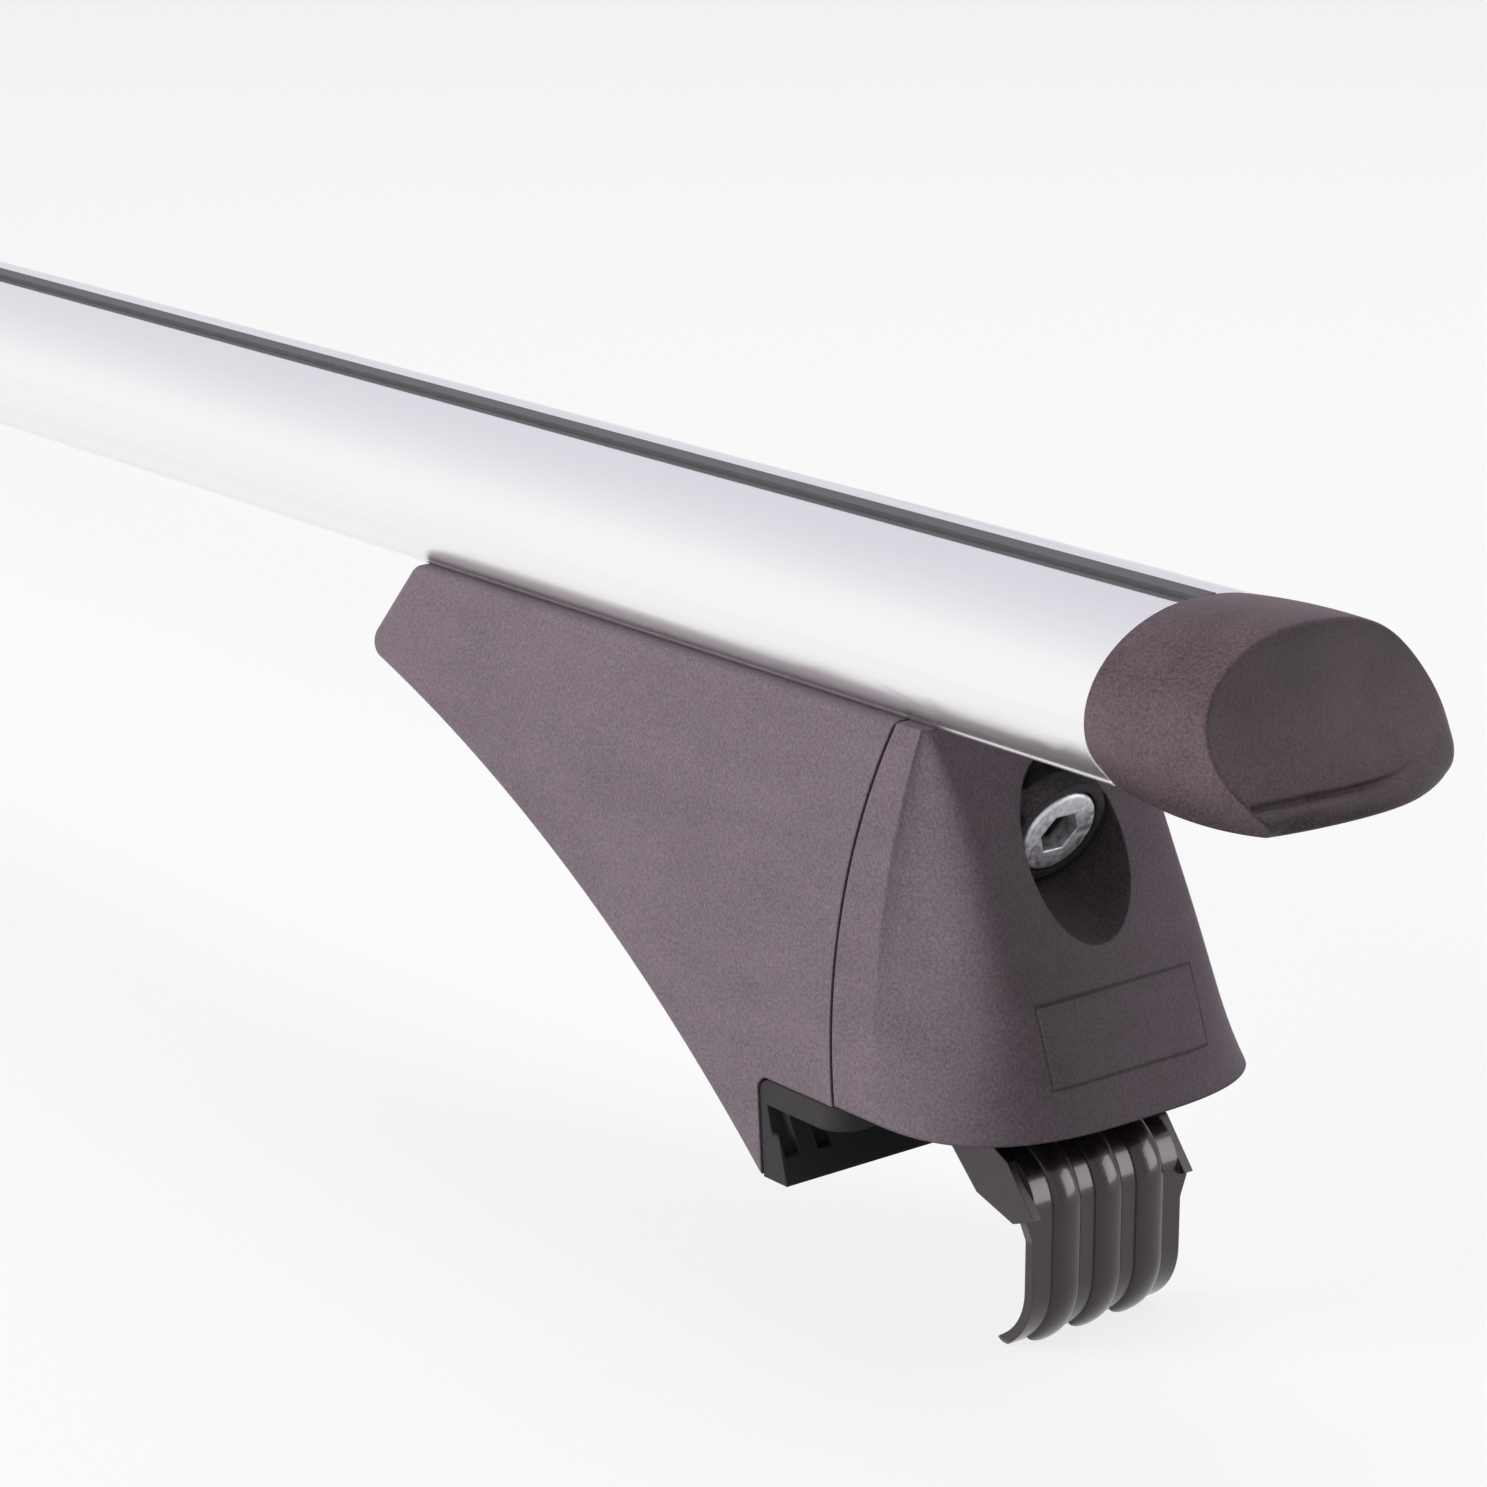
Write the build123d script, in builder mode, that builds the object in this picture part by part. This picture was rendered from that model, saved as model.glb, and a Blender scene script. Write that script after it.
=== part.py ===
from build123d import *
import os
from math import cos, radians, sin

# A roof rack crossbar: a wing-shaped aluminium bar on two feet, each gripping a car's roof rail
# between a pad on the inner side and a steel hook drawn in by one socket head bolt.
# X runs along the bar, Y across it with the nose on the -Y side, Z up from the hooks' lowest point.

# Crossbar extrusion
bar_length = 1100.0
bar_nose = 23.5
bar_tail = 24.5
bar_height = 23.2
nose_height = 9.7
bottom_reach = 17.5
bar_bead = 0.8
bar_wall = 1.8
bar_underside = 88.4

# Slot for accessories in the top and channel for the feet's bolts in the underside
slot_y = -3.8
slot_width = 7.0
slot_lip = 2.0
slot_inside = 13.0
slot_depth = 5.5
channel_width = 7.0
channel_inside = 12.0
channel_depth = 5.0
strip_step = 0.7

# End caps
cap_top_reach = 19.9
cap_bottom_reach = 33.2
cap_bow = 48.0
cap_bow_shift = -2.7
cap_plug = 16.0
plug_play = 0.15
cap_round = 3.0
cap_tail_round = 12.0
cap_swell = 0.7
cap_taper = 2.4

# Foot housing, measured from the end of the bar inwards and from the bar's underside down
foot_inner = 169.0
foot_inner_depth = 15.2
foot_top_inset = 10.4
foot_depth = 67.0
tip_width = 2.0
foot_sag = 5.5
foot_half_width = 20.1
foot_flare = 0.2
foot_wall = 2.5
foot_round = 1.5
cover_wall = 3.1
split_reach = 46.1
split_radius = 76.8
split_gap = 0.5

# Outer cover: its end face leans out from the top to the bottom rim, its corners grow rounder downwards
cover_depth = 53.5
cover_top_reach = 35.2
cover_bottom_reach = 10.6
cover_bow = 1.0
crease_top = 35.6
crease_upper = 37.6
crease_lower = 36.0
crease_bottom = 31.0
face_half_width = 14.6

# Bolt, washer, nut and pocket, on an axis tilted down towards the outside
bolt_reach = 29.3
bolt_drop = 16.9
bolt_tilt = 23.5
bolt_diameter = 8.0
bolt_length = 20.0
head_diameter = 13.0
head_height = 8.0
socket_width = 6.0
socket_depth = 4.0
washer_diameter = 16.0
washer_thickness = 1.6
washer_gap = 0.3
nut_width = 13.0
nut_height = 6.5
thread_play = 0.06
pocket_radius = 9.0
pocket_depth = 3.7
floor_inset = 1.4
collar_gap = 0.4
collar_wall = 1.3
collar_inset = 0.2

# Steel hook: a round tab under the bolt's head, a leg, a sloping shelf, the ribbed plate and its lip
hook_plate = 1.6
hook_reach = 17.6
hook_half_width = 14.1
hook_bend = 3.0
knee_bend = 9.0
lip_bend = 10.5
tab_half_height = 8.4
leg_drop = 44.0
shelf_half_width = 15.3
shelf_start = 33.0
shelf_start_drop = 54.6
shelf_drop = 62.0
shoulder_drop = 67.8
shoulder_height = 3.2
flange_plate = 1.6
flange_reach = 34.0
flange_drop = 60.5
ear_start = 22.0
ear_reach = 1.2
ear_drop = 67.0
lip_reach = 6.0
lip_height = 4.2
rib_width = 5.2
rib_pitch = 7.9
rib_height = 1.0

# Rail pad
pad_gap = 0.3
pad_thickness = 3.4
pad_leg = 4.2
pad_lean = 4.3
pad_reach = 39.3
notch_reach = 57.9
pad_slot_width = 2.7
pad_slot_depth = 1.6
pad_slots = (-30.6, -24.7, -12.5, 12.5, 24.7, 30.6)

# Steel support under the bar and the bolts that hang it there
support_plate = 3.0
support_half_width = 17.6
support_inner = 130.0
support_front = 64.0
support_gap = 3.6
t_bolt_diameter = 6.0
t_bolt_length = 16.0
t_bolt_inner = 115.0
t_bolt_outer = 78.0
t_head_height = 4.0
t_nut_width = 10.0
t_nut_height = 5.0
t_washer_diameter = 12.0
t_washer_thickness = 1.6

os.makedirs("parts", exist_ok=True)

# Working planes: across the bar, along the foot's side at the bar's end, and looking along the bolt
bar_end = bar_length / 2
tilt = radians(bolt_tilt)
foot_side = Plane(origin=(bar_end, 0, bar_underside), x_dir=(1, 0, 0), z_dir=(0, -1, 0))
foot_front = Plane(origin=(bar_end, 0, bar_underside), x_dir=(0, 1, 0), z_dir=(1, 0, 0))
bolt_face = Plane(
    origin=(bar_end - bolt_reach, 0, bar_underside - bolt_drop),
    x_dir=(0, 1, 0),
    z_dir=(cos(tilt), 0, -sin(tilt)),
)
far = 4 * foot_half_width

# Stations along the bolt's axis from the face of its head inwards
bearing = head_height
tab_outer = bearing + washer_thickness + washer_gap
tab_inner = tab_outer + hook_plate
wall_outer = tab_inner + support_gap
wall_inner = wall_outer + support_plate


def foot_level(drop):
    """The horizontal plane that lies drop below the bar's underside."""
    return Plane(origin=(bar_end, 0, bar_underside - drop))


def bolt_point(inward, above):
    """Side view point inward from the bolt's head face along its axis, and above that axis."""
    x = -bolt_reach - inward * cos(tilt) + above * sin(tilt)
    z = -bolt_drop + inward * sin(tilt) + above * cos(tilt)
    return (x, z)


def save(piece, node):
    """Name one piece and write its file."""
    piece.part.label = node
    export_step(piece.part, f"parts/{node}.step")


def save_pair(piece, node):
    """Write the piece at the +X end and its mirror image at the -X end."""
    save(piece, f"right_{node}")
    with BuildPart() as twin:
        mirror(piece.part, about=Plane.YZ)
    save(twin, f"left_{node}")


def flanks(inset, depth):
    """Corners of the foot's flared cross-section, pulled in by inset, down to depth."""
    top = foot_half_width - inset
    bottom = foot_half_width + foot_flare * depth - inset
    return [(-top, 0), (top, 0), (bottom, -depth), (-bottom, -depth)]


def wing(inset, sag=0.0):
    """Wing section pulled in by inset, its bottom lowered by sag: elliptic brow, crown at the slot."""
    crown = (slot_y, bar_height - inset)
    nose = (-bar_nose + inset, nose_height)
    bottom_front = (-bottom_reach + 0.5 * inset, inset - sag)
    back = (0.57 * bar_tail - 0.6 * inset, 0.8 * bar_height - 0.8 * inset)
    tail_tip = (bar_tail - 1.6 * inset, 0.13 * bar_height + 0.3 * inset)
    bottom_rear = (0.9 * bar_tail - 1.3 * inset, inset - sag)
    with BuildSketch() as section:
        with BuildLine():
            Line(bottom_rear, bottom_front)
            Spline(bottom_front, nose, tangents=[(-0.7, 0.7), (0, 1)])
            EllipticalCenterArc(
                (slot_y, nose_height),
                bar_nose + slot_y - inset,
                bar_height - nose_height - inset,
                start_angle=90,
                arc_size=90,
            )
            Spline(crown, back, tail_tip, tangents=[(1, 0), (0.4, -1)])
            TangentArc(tail_tip, bottom_rear, tangent=(0.4, -1))
        make_face()
    return section.sketch


slot_roof = bar_height - slot_lip
channel_box = slot_lip + channel_depth + bar_wall


def chambers(play):
    """The bar's two hollow chambers, between its skin and the walls of slot and channel, less play."""
    with BuildSketch() as hollow:
        add(wing(bar_wall + play))
        with Locations((slot_y, slot_roof - slot_depth - bar_wall - play)):
            Rectangle(
                slot_inside + 2 * bar_wall + 2 * play,
                bar_height,
                align=(Align.CENTER, Align.MIN),
                mode=Mode.SUBTRACT,
            )
        Rectangle(
            channel_inside + 2 * bar_wall + 2 * play,
            channel_box + play,
            align=(Align.CENTER, Align.MIN),
            mode=Mode.SUBTRACT,
        )
        with Locations((slot_y / 2, bar_height / 2)):
            Rectangle(bar_wall + 2 * play, bar_height, mode=Mode.SUBTRACT)
    return hollow.sketch


# The slot under its two lips, and the channel over its two lips
with BuildSketch() as grooves:
    with Locations((slot_y, slot_roof)):
        Rectangle(slot_inside, slot_depth, align=(Align.CENTER, Align.MAX))
        Rectangle(slot_width, 2 * slot_lip, align=(Align.CENTER, Align.CENTER))
    with Locations((0, slot_lip)):
        Rectangle(channel_inside, channel_depth, align=(Align.CENTER, Align.MIN))
        Rectangle(channel_width, 2 * slot_lip, align=(Align.CENTER, Align.CENTER))

# Crossbar: one aluminium extrusion, with a bead along its lower front edge
with BuildPart() as bar:
    with BuildSketch(Plane.YZ.offset(-bar_end).shift_origin((-bar_end, 0, bar_underside))):
        add(wing(0))
        with Locations((-bottom_reach, bar_bead)):
            Circle(bar_bead)
        add(chambers(0), mode=Mode.SUBTRACT)
        add(grooves.sketch, mode=Mode.SUBTRACT)
    extrude(amount=bar_length)
save(bar, "crossbar")

# Rubber strip pushed into the top slot, its near half set lower than its far half
with BuildPart() as strip:
    with BuildSketch(Plane.YZ.shift_origin((0, slot_y, bar_underside + slot_roof))):
        Rectangle(slot_width, slot_lip, align=(Align.CENTER, Align.MIN))
        Rectangle(slot_inside - slot_lip, slot_lip / 2, align=(Align.CENTER, Align.MAX))
        with Locations((-slot_width / 4, slot_lip)):
            Rectangle(slot_width / 2, 2 * strip_step, mode=Mode.SUBTRACT)
    extrude(amount=bar_end, both=True)
save(strip, "slot_strip")

# End cap: the wing section carried on past the bar, cut by a bowed, leaning end, with a plug in the bar
cap_rim = Plane(
    origin=(bar_end + cap_bottom_reach, 0, bar_underside),
    x_dir=(0, 1, 0),
    z_dir=(cap_top_reach - cap_bottom_reach, 0, bar_height),
)
with BuildPart() as end_cap:
    with BuildSketch(foot_front):
        add(wing(0))
    with BuildSketch(foot_front.offset(cap_bottom_reach / 2)):
        add(wing(-cap_swell, cap_swell))
    with BuildSketch(foot_front.offset(1.2 * cap_bottom_reach)):
        add(wing(cap_taper))
    loft()
    with BuildSketch(cap_rim) as cap_plan:
        with Locations((cap_bow_shift, cap_bow)):
            Circle(cap_bow)
        with Locations((bar_tail + slot_lip, 0)):
            Rectangle(far, 4 * cap_bow, align=(Align.MIN, Align.CENTER), mode=Mode.SUBTRACT)
        fillet(cap_plan.vertices().sort_by_distance(cap_rim.origin)[:1], radius=cap_tail_round)
    extrude(amount=2 * bar_height, both=True, mode=Mode.INTERSECT)
    end_face = end_cap.faces().sort_by(Axis.X)[-1]
    lower_rim = end_face.edges().filter_by(GeomType.LINE, reverse=True).sort_by(Axis.Z)[:1]
    fillet(lower_rim, radius=cap_round)
    with BuildSketch(foot_front):
        add(chambers(plug_play))
    extrude(amount=-cap_plug)
save_pair(end_cap, "end_cap")

# Side view of the whole foot: sloped inner end, sagging lower edge, notch for the rail pad
toe = (-foot_inner, -foot_inner_depth)
top_inner = (-foot_inner + foot_top_inset, 0)
notch_top = -cover_depth - pad_gap
notch_corner = (-notch_reach, notch_top)
notch_bottom = (-notch_reach + pad_lean, -foot_depth)
tip = (notch_bottom[0] - tip_width, -foot_depth)
with BuildSketch() as silhouette:
    with BuildLine():
        Polyline(
            tip,
            notch_bottom,
            notch_corner,
            (-cover_top_reach, notch_top),
            (-cover_top_reach, 0),
            top_inner,
            toe,
        )
        sag_point = ((toe[0] + tip[0]) / 2, (toe[1] + tip[1]) / 2 + foot_sag)
        ThreePointArc(toe, sag_point, tip)
    make_face()
    fillet(silhouette.vertices().sort_by_distance(top_inner)[:1], radius=2 * foot_round)
    fillet(silhouette.vertices().sort_by_distance(toe)[:1], radius=2 * foot_round)
    fillet(silhouette.vertices().sort_by_distance(notch_corner)[:1], radius=foot_round)
split_centre = (split_radius - split_reach, -cover_depth / 2)

# Hollow of the foot body, open towards the outer cover
with BuildPart() as body_hollow:
    with BuildSketch(foot_side):
        with Locations((1.3 * foot_wall, 0.45 * foot_wall)):
            add(silhouette.sketch)
        with Locations((0, -foot_wall)):
            Rectangle(
                2 * foot_inner,
                cover_depth - 2 * foot_wall,
                align=(Align.CENTER, Align.MAX),
                mode=Mode.INTERSECT,
            )
    extrude(amount=far, both=True)
    with BuildSketch(foot_front):
        Polygon(*flanks(foot_wall, foot_depth), align=None)
    extrude(amount=-2 * foot_inner, mode=Mode.INTERSECT)

# Foot body: moulded housing with flared sides
with BuildPart() as foot_body:
    with BuildSketch(foot_side):
        add(silhouette.sketch)
        with Locations(split_centre):
            Circle(split_radius, mode=Mode.SUBTRACT)
    extrude(amount=far, both=True)
    with BuildSketch(foot_front):
        Polygon(*flanks(0, foot_depth), align=None)
    extrude(amount=-2 * foot_inner, mode=Mode.INTERSECT)
    fillet(foot_body.edges().filter_by(Axis.X).group_by(Axis.Z)[-1], radius=foot_round)
    add(body_hollow.part, mode=Mode.SUBTRACT)
    with BuildSketch(foot_level(0)):
        with Locations((-t_bolt_inner, 0), (-t_bolt_outer, 0)):
            Circle(t_bolt_diameter / 2 + pad_gap)
        with Locations((-support_front, 0)):
            Rectangle(4 * pocket_radius, 2 * pocket_radius, align=(Align.MIN, Align.CENTER))
    extrude(amount=-2 * foot_wall, mode=Mode.SUBTRACT)
save_pair(foot_body, "foot_body")


def cover_plan(drop, inset, crease, flat, crease_angle):
    """Plan of the outer cover at drop: straight flanks, splined corners and a flat front."""
    share = drop / cover_depth
    half = foot_half_width + foot_flare * drop - inset
    lean = (cover_top_reach - cover_bottom_reach) * share
    front = -cover_top_reach + lean + cover_bow * sin(radians(180 * share)) - inset
    corner = (-crease - inset / 2, -half)
    flat_end = (front, -min(flat, half - 1))
    with BuildSketch(foot_level(drop)) as plan:
        with BuildLine():
            Polyline((-support_front, 0), (-support_front, -half), corner)
            Spline(
                corner,
                flat_end,
                tangents=[(cos(radians(crease_angle)), sin(radians(crease_angle))), (0, 1)],
            )
            Line(flat_end, (front, 0))
            mirror(about=Plane.XZ)
        make_face()
    return plan.sketch


def cover_block(inset, top, bottom):
    """The cover's lofted form, pulled in by inset, from the drop top to the drop bottom."""
    with BuildPart() as block:
        add(cover_plan(top, inset, crease_top, foot_half_width - 1, 80))
        add(cover_plan(0.4 * cover_depth, inset, crease_upper, face_half_width, 40))
        add(cover_plan(0.7 * cover_depth, inset, crease_lower, face_half_width - 2, 18))
        add(cover_plan(bottom, inset, crease_bottom, 4, 0))
        loft()
    return block.part


# Outer cover: lofted shell beyond the split line, with a pocket sunk into its sloping face and a collar
# around the bolt's head
with BuildPart() as cover_form:
    add(cover_block(0, 0, cover_depth))
    with BuildSketch(foot_side):
        with Locations(split_centre):
            Circle(split_radius - split_gap)
    extrude(amount=far, both=True, mode=Mode.INTERSECT)

with BuildPart() as pocket_boss:
    with BuildSketch(bolt_face.offset(-pocket_depth)):
        Circle(pocket_radius + foot_wall)
    extrude(amount=far)
    add(cover_form.part, mode=Mode.INTERSECT)

with BuildPart() as tongues:
    with BuildSketch(foot_side):
        with Locations((-split_reach, -0.56 * cover_depth)):
            RectangleRounded(6 * foot_wall, 0.42 * cover_depth, foot_round)
    extrude(amount=far, both=True)
    with BuildSketch(foot_front):
        Polygon(*flanks(foot_wall + pad_gap, foot_depth), align=None)
        Polygon(*flanks(2 * foot_wall - pad_gap, foot_depth), align=None, mode=Mode.SUBTRACT)
    extrude(amount=-2 * foot_inner, mode=Mode.INTERSECT)

with BuildPart() as outer_cover:
    add(cover_form.part)
    add(cover_block(cover_wall, foot_wall, cover_depth + foot_wall), mode=Mode.SUBTRACT)
    add(pocket_boss.part)
    add(tongues.part)
    with BuildSketch(bolt_face.offset(-pocket_depth)):
        Circle(pocket_radius)
    extrude(amount=pocket_depth - wall_outer, mode=Mode.SUBTRACT)
    with BuildSketch(bolt_face.offset(-floor_inset)):
        Circle(pocket_radius)
    extrude(amount=far, mode=Mode.SUBTRACT)
    with BuildSketch(bolt_face.offset(-pocket_depth)):
        Circle(head_diameter / 2 + collar_gap + collar_wall)
    extrude(amount=pocket_depth - collar_inset)
    with BuildSketch(bolt_face.offset(-pocket_depth)):
        Circle(head_diameter / 2 + collar_gap)
    extrude(amount=far, mode=Mode.SUBTRACT)
save_pair(outer_cover, "outer_cover")

# Rail pad: soft corner that sits in the notch and bears on the rail's top and inner side
pad_top = notch_top - pad_gap
pad_under = pad_top - pad_thickness
pad_inner = -notch_reach + pad_gap
pad_foot = -foot_depth - pad_gap
pad_corner = pad_inner + pad_leg
pad_slope = (pad_lean + 1) / (pad_under - pad_foot)
slot_drop = 0.65 * (pad_under - pad_foot)
with BuildPart() as rail_pad:
    with BuildSketch(foot_side) as pad_profile:
        with BuildLine():
            Polyline(
                (pad_inner, pad_top),
                (-pad_reach, pad_top),
                (-pad_reach, pad_under),
                (pad_corner, pad_under),
                (pad_corner + pad_lean + 1, pad_foot),
                (pad_inner + pad_lean, pad_foot),
                close=True,
            )
        make_face()
        fillet(pad_profile.vertices().sort_by_distance((pad_inner, pad_top))[:1], radius=foot_round)
    extrude(amount=far, both=True)
    with BuildSketch(foot_front):
        Polygon(*flanks(pad_gap, 2 * foot_depth), align=None)
    extrude(amount=-2 * foot_inner, mode=Mode.INTERSECT)
    pad_end = rail_pad.faces().sort_by(Axis.X)[-1]
    fillet(pad_end.edges().filter_by(Axis.Y, reverse=True), radius=pad_leg)
    with BuildSketch(*[foot_side.offset(y) for y in pad_slots]):
        with BuildLine():
            Polyline(
                (pad_corner - pad_slot_depth, pad_under),
                (pad_corner + pad_leg, pad_under),
                (pad_corner + pad_leg + slot_drop * pad_slope, pad_under - slot_drop),
                (pad_corner - pad_slot_depth + slot_drop * pad_slope, pad_under - slot_drop),
                close=True,
            )
        make_face()
    extrude(amount=pad_slot_width / 2, both=True, mode=Mode.SUBTRACT)
save_pair(rail_pad, "rail_pad")

# Support: folded steel channel under the foot's roof, closed by the inclined wall the bolt pulls on
wall_top = 7.0
wall_bottom = -10.0
support_top = -foot_wall
with BuildPart() as support:
    with BuildSketch(foot_side):
        with BuildLine():
            Polyline(
                (-support_inner, support_top),
                (-support_front + nut_height, support_top),
                bolt_point(wall_outer, wall_top),
                bolt_point(wall_outer, wall_bottom),
                (-support_front, -2 * foot_inner_depth + support_plate),
                (-support_inner, -foot_inner_depth),
                close=True,
            )
        make_face()
    extrude(amount=support_half_width, both=True)
    with BuildSketch(foot_side):
        with BuildLine():
            Polyline(
                (-support_inner - far, support_top - support_plate),
                (-support_front, support_top - support_plate),
                (-support_front, far),
                bolt_point(wall_inner, far),
                bolt_point(wall_inner, -far),
                (-support_inner - far, -far),
                close=True,
            )
        make_face()
    extrude(amount=support_half_width - support_plate, both=True, mode=Mode.SUBTRACT)
    with BuildSketch(foot_level(0)):
        with Locations((-t_bolt_inner, 0), (-t_bolt_outer, 0)):
            Circle(t_bolt_diameter / 2 + pad_gap)
    extrude(amount=-2 * foot_wall - support_plate, mode=Mode.SUBTRACT)
    with BuildSketch(bolt_face):
        Circle(bolt_diameter / 2 + 2 * pad_gap)
    extrude(amount=-far, mode=Mode.SUBTRACT)
save_pair(support, "support_bracket")

# Clamp hook: one folded steel strip with pressed ribs over its knee and a flange down each side of it
tab_top = bolt_point(tab_outer, tab_half_height)
tab_bottom = bolt_point(tab_outer, -tab_half_height)
leg_bottom = (tab_bottom[0] + hook_plate / 2, -leg_drop)
shelf_inner = (-shelf_start, -shelf_start_drop)
knee = (-hook_reach, -shelf_drop)
plate_bottom = (-hook_reach, -bar_underside + lip_height)
lip_end = (-hook_reach - lip_reach, -bar_underside)
rib_start = (0.6 * shelf_inner[0] + 0.4 * knee[0], 0.6 * shelf_inner[1] + 0.4 * knee[1])
rib_end = (0.2 * plate_bottom[0] + 0.8 * lip_end[0], 0.2 * plate_bottom[1] + 0.8 * lip_end[1])
rib_rows = (-1, 0, 1)
flange_middle = shelf_half_width - flange_plate / 2
flange_planes = [foot_side.offset(flange_middle), foot_side.offset(-flange_middle)]
shelf_slope = (shelf_drop - shelf_start_drop) / (shelf_start - hook_reach)
ear_top = (-ear_start, -shelf_start_drop - (shelf_start - ear_start) * shelf_slope)
ear_tip = (-hook_reach + ear_reach, -ear_drop)


def rib(row, sunk):
    """One rounded rib carried from the shelf over the knee into the lip, sunk below the sheet's face."""
    with BuildPart() as bead:
        with BuildLine(foot_side.offset(row * rib_pitch)) as run:
            FilletPolyline(rib_start, knee, plate_bottom, rib_end, radius=(knee_bend, lip_bend))
        with BuildSketch(Plane(origin=run.line @ 0, x_dir=(0, 1, 0), z_dir=run.line % 0)):
            with Locations((0, -sunk)):
                Ellipse(rib_width / 2, rib_height)
        sweep()
    return bead.part


with BuildPart() as hook:
    with BuildSketch(foot_side):
        with BuildLine():
            FilletPolyline(
                tab_top,
                tab_bottom,
                leg_bottom,
                shelf_inner,
                knee,
                plate_bottom,
                lip_end,
                radius=(hook_bend, hook_bend, hook_bend, knee_bend, lip_bend),
            )
            offset(amount=hook_plate, side=Side.RIGHT)
        make_face()
    extrude(amount=shelf_half_width, both=True)
    for row in rib_rows:
        add(rib(row, 0))
        add(rib(row, hook_plate), mode=Mode.SUBTRACT)
    with BuildSketch(foot_front) as hook_front:
        with BuildLine():
            Polyline(
                (0, 0),
                (shelf_half_width, 0),
                (shelf_half_width, -shoulder_drop),
                (hook_half_width, -shoulder_drop - shoulder_height),
                (hook_half_width, -bar_underside),
                (0, -bar_underside),
            )
            mirror(about=Plane.YZ)
        make_face()
        fillet(hook_front.vertices().group_by(Axis.Z)[0], radius=hook_bend / 2)
    extrude(amount=-foot_inner, mode=Mode.INTERSECT)
    with BuildSketch(*flange_planes):
        with BuildLine():
            Polyline(ear_top, ear_tip, (0, -ear_drop), (0, ear_top[1]), close=True)
        make_face()
    extrude(amount=flange_plate / 2, both=True, mode=Mode.SUBTRACT)
    with BuildSketch(*flange_planes):
        with BuildLine():
            Polyline(
                shelf_inner,
                ear_top,
                ear_tip,
                (-hook_reach - hook_bend, -shoulder_drop - flange_plate / 2),
                (-0.83 * flange_reach, -shoulder_drop + flange_plate),
                (-flange_reach, -flange_drop),
                close=True,
            )
        make_face()
    extrude(amount=flange_plate / 2, both=True)
    with BuildSketch(bolt_face):
        with Locations((0, -tab_half_height)):
            Rectangle(far, far, align=(Align.CENTER, Align.MIN))
            Rectangle(
                2 * tab_half_height,
                tab_half_height,
                align=(Align.CENTER, Align.MIN),
                mode=Mode.SUBTRACT,
            )
        Circle(tab_half_height, mode=Mode.SUBTRACT)
        Circle(bolt_diameter / 2 + 2 * pad_gap)
    extrude(amount=-far, mode=Mode.SUBTRACT)
save_pair(hook, "clamp_hook")

# Clamp bolt: socket head screw whose washer draws the hook in
with BuildPart() as clamp_bolt:
    with BuildSketch(bolt_face):
        Circle(head_diameter / 2)
    extrude(amount=-head_height)
    fillet(clamp_bolt.faces().filter_by(bolt_face).sort_by(Axis.X)[-1].edges(), radius=pad_gap * 2)
    with BuildSketch(bolt_face.offset(-head_height)):
        Circle(bolt_diameter / 2)
    extrude(amount=-bolt_length)
    chamfer(clamp_bolt.faces().filter_by(bolt_face).sort_by(Axis.X)[0].edges(), length=pad_gap * 2)
    with BuildSketch(bolt_face):
        RegularPolygon(socket_width / 2, 6, major_radius=False)
    extrude(amount=-socket_depth, mode=Mode.SUBTRACT)
save_pair(clamp_bolt, "clamp_bolt")

with BuildPart() as clamp_washer:
    with BuildSketch(bolt_face.offset(-bearing)):
        Circle(washer_diameter / 2)
        Circle(bolt_diameter / 2 + pad_gap, mode=Mode.SUBTRACT)
    extrude(amount=-washer_thickness)
save_pair(clamp_washer, "clamp_washer")

# Clamp nut: hexagon nut held behind the support's inclined wall
with BuildPart() as clamp_nut:
    with BuildSketch(bolt_face.offset(-wall_inner)):
        RegularPolygon(nut_width / 2, 6, major_radius=False)
        Circle(bolt_diameter / 2 + thread_play, mode=Mode.SUBTRACT)
    extrude(amount=-nut_height)
save_pair(clamp_nut, "clamp_nut")

# T-bolts, washers and nuts that hang body and support from the bar's lower channel
t_spots = [(-t_bolt_inner, 0), (-t_bolt_outer, 0)]
t_seat = support_plate + foot_wall
with BuildPart() as t_bolts:
    with BuildSketch(foot_level(-slot_lip)):
        with Locations(*t_spots):
            Rectangle(t_nut_width, channel_inside - 1)
    extrude(amount=t_head_height)
    with BuildSketch(foot_level(-slot_lip)):
        with Locations(*t_spots):
            Circle(t_bolt_diameter / 2)
    extrude(amount=-t_bolt_length)
save_pair(t_bolts, "t_bolts")

with BuildPart() as t_washers:
    with BuildSketch(foot_level(t_seat)):
        with Locations(*t_spots):
            Circle(t_washer_diameter / 2)
            Circle(t_bolt_diameter / 2 + pad_gap, mode=Mode.SUBTRACT)
    extrude(amount=-t_washer_thickness)
save_pair(t_washers, "t_washers")

with BuildPart() as t_nuts:
    with BuildSketch(foot_level(t_seat + t_washer_thickness)):
        with Locations(*t_spots):
            RegularPolygon(t_nut_width / 2, 6, major_radius=False)
            Circle(t_bolt_diameter / 2 + thread_play, mode=Mode.SUBTRACT)
    extrude(amount=-t_nut_height)
save_pair(t_nuts, "t_nuts")
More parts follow.
